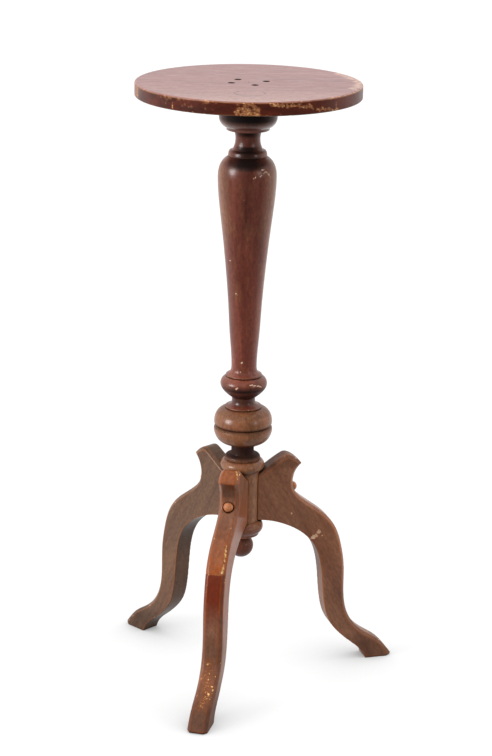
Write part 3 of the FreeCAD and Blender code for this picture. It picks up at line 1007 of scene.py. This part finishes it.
def figured(tree, streaks, colour, figure, lathe):
    """The stain's colour under the grain, and the share of the pores.

    The figure of the wood and the rings of the lathe show as much as asked.
    """
    clouds = add(tree, "MapRange", {"From Min": 0.3, "From Max": 0.7, "To Min": 0.75, "To Max": 1.25},
                 {"Value": streaks(3.2, 7, 6)})
    colour = add(tree, "MixRGB", MULTIPLY, {"Color1": colour, "Color2": clouds})
    lining = {"From Min": 0.35, "From Max": 0.7, "To Min": LINE_PALE, "To Max": 1 - LINE_DARK * figure}
    lines = add(tree, "MapRange", lining, {"Value": streaks(1.8, 60, 3)})
    colour = add(tree, "MixRGB", MULTIPLY, {"Color1": colour, "Color2": lines})
    if lathe:
        ringing = {"From Min": 0.35, "From Max": 0.65, "To Min": 1 - lathe, "To Max": 1 + lathe}
        rings = add(tree, "MapRange", ringing, {"Value": streaks(60, 1.6, 4)})
        colour = add(tree, "MixRGB", MULTIPLY, {"Color1": colour, "Color2": rings})
    pores = add(tree, "MapRange", {"From Min": 0.57, "From Max": 0.75, "To Max": PORE_DARK * figure},
                {"Value": streaks(1.1, 11, 2)})
    return add(tree, "MixRGB", {"Color2": GRIME_AND_SHADE}, {"Fac": pores, "Color1": colour}), pores


print("layers of grain: clouds, lines, rings, pores")

# %% [markdown]
# ## Years of use
#
# Over the grain lie the years: pale lines where edges are rubbed, grime and painted shade in the
# grooves, and dry bare wood in the chips. The rubbed edges come from the measured bend and the chips
# from the worn spots, both broken up by noise of a few millimetres. The grime and the painted shade
# follow how closed in a place is.

# %% Rubbed edges and grime
GROOVE = 7 * MM
GRIME_AND_SHADE_MOST = 0.92


def rubbed_thin(tree, streaks, colour, rubbed_and_lit, edges):
    """The colour with its edges and worn spots rubbed paler, and the shares of the two."""
    edge = add(tree, "Attribute", {"attribute_name": "edge"}, out="Fac")
    rub = add(tree, "MapRange", {"From Min": 0.25, "From Max": 0.8, "To Max": edges}, {"Value": edge})
    broken = add(tree, "MapRange", {"From Min": 0.3, "From Max": 0.6, "To Min": 0.3},
                 {"Value": streaks(7, 14, 3)})
    rub = add(tree, "Math", {"operation": "MULTIPLY"}, {0: rub, 1: broken})
    wear = add(tree, "Attribute", {"attribute_name": "wear"}, out="Fac")
    worn = add(tree, "Math", {"operation": "MAXIMUM"}, {0: rub, 1: wear})
    thin = add(tree, "MapRange", {"From Min": 0.04, "From Max": 0.6, "To Max": 0.6}, {"Value": worn})
    return add(tree, "MixRGB", {"Color2": linear(rubbed_and_lit)}, {"Fac": thin, "Color1": colour}), rub, wear


def grimed_and_shaded(tree, colour):
    """The colour darkened by grime and painted shade in its grooves and by the dirt and shade laid on, and
    the share of both.
    """
    open_sky = add(tree, "AmbientOcclusion", {"samples": 8, "Distance": GROOVE}, out="AO")
    grime_and_shade = add(tree, "MapRange", {"From Min": 0.88, "From Max": 0.35, "To Max": GRIME_AND_SHADE_MOST},
                {"Value": open_sky})
    dirt_and_shade = add(tree, "Attribute", {"attribute_name": "dirt_and_shade"}, out="Fac")
    grime_and_shade = add(tree, "Math", {"operation": "MAXIMUM"}, {0: grime_and_shade, 1: dirt_and_shade})
    return add(tree, "MixRGB", {"Color2": GRIME_AND_SHADE}, {"Fac": grime_and_shade, "Color1": colour}), grime_and_shade


print("groove that holds grime, in mm:", GROOVE / MM)

# %% Bare wood
RUB_LOSS = 0.3
FLECK_STRENGTH = 1.5


def chipped(tree, streaks, colour, rub, wear, raw):
    """The colour with chips of bare dry wood, and the share that is bare."""
    flecks = streaks(1.6, 2.4, 3)
    lost = add(tree, "Math", {"operation": "MULTIPLY_ADD", 1: RUB_LOSS}, {0: rub, 2: wear})
    ragged = add(tree, "Math", {"operation": "MULTIPLY_ADD", 1: FLECK_STRENGTH}, {0: flecks, 2: lost})
    bare = add(tree, "MapRange", {"From Min": 1.28, "From Max": 1.42}, {"Value": ragged})
    fibres = add(tree, "MapRange", {"From Min": 0.35, "From Max": 0.65}, {"Value": streaks(1.4, 5, 2)})
    dry = add(tree, "MixRGB", {"Color1": linear(raw[0]), "Color2": linear(raw[1])}, {"Fac": fibres})
    return add(tree, "MixRGB", {}, {"Fac": bare, "Color1": colour, "Color2": dry}), bare


print("share of a rubbed edge that goes bare:", RUB_LOSS)

# %% [markdown]
# ## The ring of a glass
#
# A wet glass left a faint dark ring on the top. A picture of a ring could be laid on, but the distance
# from its middle already makes one, and noise breaks it up.

# %% Ring of a wet glass
RING_PLACE = (24.3 * MM, -89 * MM, 900 * MM)
RING_RADIUS, RING_WIDTH = 21 * MM, 2.4 * MM


def glass_ring(tree, place, streaks, colour):
    """A faint broken ring left by a wet glass."""
    away = add(tree, "VectorMath", {"operation": "DISTANCE", 1: RING_PLACE}, {0: place}, out="Value")
    off = add(tree, "Math", {"operation": "SUBTRACT", 1: RING_RADIUS}, {0: away})
    off = add(tree, "Math", {"operation": "ABSOLUTE"}, {0: off})
    line = add(tree, "MapRange", {"From Min": RING_WIDTH, "From Max": 0.0, "To Max": 1.0}, {"Value": off})
    broken = add(tree, "MapRange", {"From Min": 0.38, "From Max": 0.52}, {"Value": streaks(9, 14, 2)})
    share = add(tree, "Math", {"operation": "MULTIPLY"}, {0: line, 1: broken})
    return add(tree, "MixRGB", {"Color2": GRIME_AND_SHADE}, {"Fac": share, "Color1": colour})


print("ring of the glass, in mm across:", 2 * RING_RADIUS / MM)

# %% [markdown]
# ## Varnish
#
# An old spirit varnish is a soft sheen with a thin brighter skin on it: a broad highlight with a small
# crisp one inside. The base gives the first and its coat the second. Bare wood is dry, so it is rough,
# and where dirt and painted shade lie, the varnish loses its shine.

# %% Varnish
GRAIN_X, GRAIN_Z = 0, 2
SKIN_ROUGHNESS = 0.26
POLISH_FROM, POLISH_TO = -0.05, 0.08
GRIME_AND_SHADE_DULL, BARE_DULL = 0.4, 0.35
GRAIN_RELIEF = 0.15 * MM


def varnished_wood(name, swatches, along=GRAIN_Z, turned=0.0, board=False, figure=1.0, patchy=0.0,
                   lathe=0.0, edges=0.3, polish=0.4, sheen=0.2, skin=0.3, ring=False,
                   raw=("c4824e", "efc8a0")):
    """Varnished wood; the swatches are its deep, warm, rubbed and dark stain, the last two also for painted
    light and shade.
    """
    material = bpy.data.materials.new(name)
    tree = new_tree(material)
    place = add(tree, "TexCoord", out="Object")
    if board:
        place = add(tree, "Attribute", {"attribute_name": "board"}, out="Vector")
    here = add(tree, "Mapping", {"vector_type": "TEXTURE", "Rotation": (0, 0, turned)}, {"Vector": place})
    streaks = grain_of(tree, here, along)
    colour = stained(tree, streaks, patchy, *swatches)
    colour, pores = figured(tree, streaks, colour, figure, lathe)
    if ring:
        colour = glass_ring(tree, place, streaks, colour)
    colour, rub, wear = rubbed_thin(tree, streaks, colour, swatches[2], edges)
    colour, grime_and_shade = grimed_and_shaded(tree, colour)
    colour, bare = chipped(tree, streaks, colour, rub, wear, raw)
    dulling = {"From Min": 0.3, "From Max": 0.7, "To Min": polish + POLISH_FROM, "To Max": polish + POLISH_TO}
    dull = add(tree, "MapRange", dulling, {"Value": streaks(12, 30, 4)})
    dirty = add(tree, "Math", {"operation": "MULTIPLY_ADD", 1: GRIME_AND_SHADE_DULL}, {0: grime_and_shade, 2: dull})
    rough = add(tree, "Math", {"operation": "MULTIPLY_ADD", 1: BARE_DULL, "use_clamp": True},
                {0: bare, 2: dirty})
    sunk = add(tree, "Math", {"operation": "ADD"}, {0: pores, 1: bare})
    relief = add(tree, "Math", {"operation": "SUBTRACT"}, {0: streaks(2.0, 40, 3), 1: sunk})
    bumps = add(tree, "Bump", {"Strength": 0.2, "Distance": GRAIN_RELIEF}, {"Height": relief})
    coat = add(tree, "MapRange", {"To Min": skin, "To Max": 0.0}, {"Value": grime_and_shade})
    wood = add(tree, "BsdfPrincipled",
               {"IOR": 1.5, "Specular IOR Level": sheen, "Coat Roughness": SKIN_ROUGHNESS},
               {"Base Color": colour, "Roughness": rough, "Normal": bumps, "Coat Weight": coat})
    add(tree, "OutputMaterial", {}, {"Surface": wood})
    print("finish:", name)
    return material


print("roughness of the varnish's skin:", SKIN_ROUGHNESS)

# %% [markdown]
# ## The woods of the stand
#
# One timber was stained for the whole stand, but it aged by place: the flat of the top was polished
# more than the rest and the column is deep and glossy. Each leg's swatches also paint the light that
# falls on it, the right leg's lighter and the left leg's darker.
# One finish for all would be simpler, but the eye sees the difference, so each has swatches of its own.

# %% Finish the turned wood
# The flat's pale pink rubbed swatch also paints a sheen on its side towards the camera and a highlight along
# its arris.
flat_finish = varnished_wood("polished_mahogany_top", ("82433d", "95524b", "d8b0a0", "2c1210"), GRAIN_X,
                             turned=EYE_HEADING, figure=0.6, edges=0.7, skin=0.6, ring=True)
rim_finish = varnished_wood("stained_mahogany_rim", ("40170d", "622614", "b87c50", "2a0f0a"), GRAIN_X,
                            turned=EYE_HEADING, figure=0.6, edges=0.5, sheen=0.12, raw=("bc7238", "e6b480"))
# The wells' near-black finish is old dirt and painted shade.
well_finish = varnished_wood("dirt_and_shade_in_the_wells", ("120a07", "1a0f0a", "2a1a12", "0c0605"),
                             sheen=0.05, skin=0.0)
column_finish = varnished_wood("stained_mahogany_column", ("5a271b", "844536", "8a5c39", "200d0a"),
                               figure=0.6, patchy=0.45, lathe=0.05, edges=0.4, skin=0.55, sheen=0.15,
                               raw=("d0a080", "f2dcc8"))
collar_finish = varnished_wood("stained_mahogany_collar", ("5a271b", "844536", "8a5c49", "200d0a"),
                               figure=0.6, lathe=0.05, edges=0.3, skin=0.95, sheen=0.3)

# %% Finish the legs and the small wood
# The right leg's swatches are lighter and the left leg's darker, which paints the light that falls on each.
LEG_SWATCHES = {
    "front": ("684230", "885b43", "984602", "661e02"),
    "right": ("764a36", "98684e", "a86030", "5c220c"),
    "left": ("5a3e2e", "745641", "9a5e3a", "4c2212"),
}
LEG_RAW = {"front": ("be7e36", "ecc484"), "right": ("c88a60", "f0cdb0"), "left": ("c4824e", "efc8a0")}
leg_finishes = {
    side: varnished_wood(f"stained_mahogany_{side}_leg", swatches, board=True, figure=0.3, patchy=0.15,
                         edges=0.8, skin=0.45, sheen=0.1, raw=LEG_RAW[side])
    for side, swatches in LEG_SWATCHES.items()
}
button_finish = varnished_wood("stained_beech_buttons", ("a46340", "c47d50", "cc986c", "4a2815"))
dowel_finish = varnished_wood("plain_beech_dowels", ("b58a5c", "d0a878", "d8b48a", "7a5a38"))

# %% [markdown]
# ## Old steel screws
#
# The screws are plain steel that has darkened in the wood. A metal shows its age in its roughness more
# than in its colour: turned flats stay bright, rust blooms dull and brown between them.

# %% Screw finish
RUST_BLOOM = 2.2 * MM
RUST_PIT = 0.1 * MM

steel = bpy.data.materials.new("aged_screw_steel")
tree = new_tree(steel)
here = add(tree, "TexCoord", out="Object")
bloom = add(tree, "TexNoise", {"Scale": 1 / RUST_BLOOM, "Detail": 4.0}, {"Vector": here})
rust = add(tree, "MapRange", {"From Min": 0.42, "From Max": 0.62}, {"Value": bloom})
tone = add(tree, "MixRGB", {"Color1": linear("3c3834"), "Color2": linear("24150e")}, {"Fac": rust})
bright = add(tree, "MapRange", {"To Min": 1.0, "To Max": 0.15}, {"Value": rust})
dull = add(tree, "MapRange", {"To Min": 0.38, "To Max": 0.85}, {"Value": rust})
pits = add(tree, "Bump", {"Strength": 0.4, "Distance": RUST_PIT}, {"Height": bloom})
metal = add(tree, "BsdfPrincipled", {},
            {"Base Color": tone, "Metallic": bright, "Roughness": dull, "Normal": pits})
add(tree, "OutputMaterial", {}, {"Surface": metal})
print("finish:", steel.name)

# %% [markdown]
# ## Putting the stand together
#
# Each finished piece now stands for its imported piece, takes its finish and rides with the stand.
# The top has three finishes: its flat was polished, its rim only stained, and its wells hold dirt
# and are painted in shade.
# The buttons, screws and dowels are right as they are, so they only get their finish.

# %% Finish and fasten the worked pieces
SMOOTH_TO = math.radians(40)
FLAT_TILT, FLAT_DEPTH = 0.7, 1 * MM
FLAT_FINISH, WELL_FINISH = 1, 2


def stand_for(piece, node, slot, *finishes):
    """Gives a piece its finishes and lets it stand for a packed one."""
    only(piece)
    bpy.ops.object.shade_smooth_by_angle(angle=SMOOTH_TO)
    piece.data.materials.clear()
    for finish in finishes:
        piece.data.materials.append(finish)
    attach(piece, "root")
    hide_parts(node)


stand_for(top, "top_board", "top_wood", rim_finish, flat_finish, well_finish)
for face in top.data.polygons:
    if face.normal.z > FLAT_TILT and face.center.z > top_level - FLAT_DEPTH:
        face.material_index = FLAT_FINISH
    elif face.center.to_2d().length < SCREW_GROUND * MM:
        face.material_index = WELL_FINISH
stand_for(collar, "top_collar", "column_wood", collar_finish)
stand_for(column, "column_shaft", "column_wood", column_finish)
stand_for(post, "base_post", "column_wood", column_finish)
stand_for(finial, "drop_finial", "column_wood", column_finish)
for side, leg in legs.items():
    stand_for(leg, f"leg_{side}", "leg_wood", leg_finishes[side])
print("worked pieces in place:", len(edges_of))

# %% Finish the pieces that are kept
kept_nodes = {"top_screws": steel}
for side in SIDES:
    kept_nodes[f"leg_{side}_screw"] = steel
    kept_nodes[f"leg_{side}_button"] = button_finish
    for level in ("upper", "lower"):
        kept_nodes[f"leg_{side}_dowel_{level}"] = dowel_finish
for node, finish in kept_nodes.items():
    nodes[node].data.materials.clear()
    nodes[node].data.materials.append(finish)
print("pieces kept from the model:", len(kept_nodes))
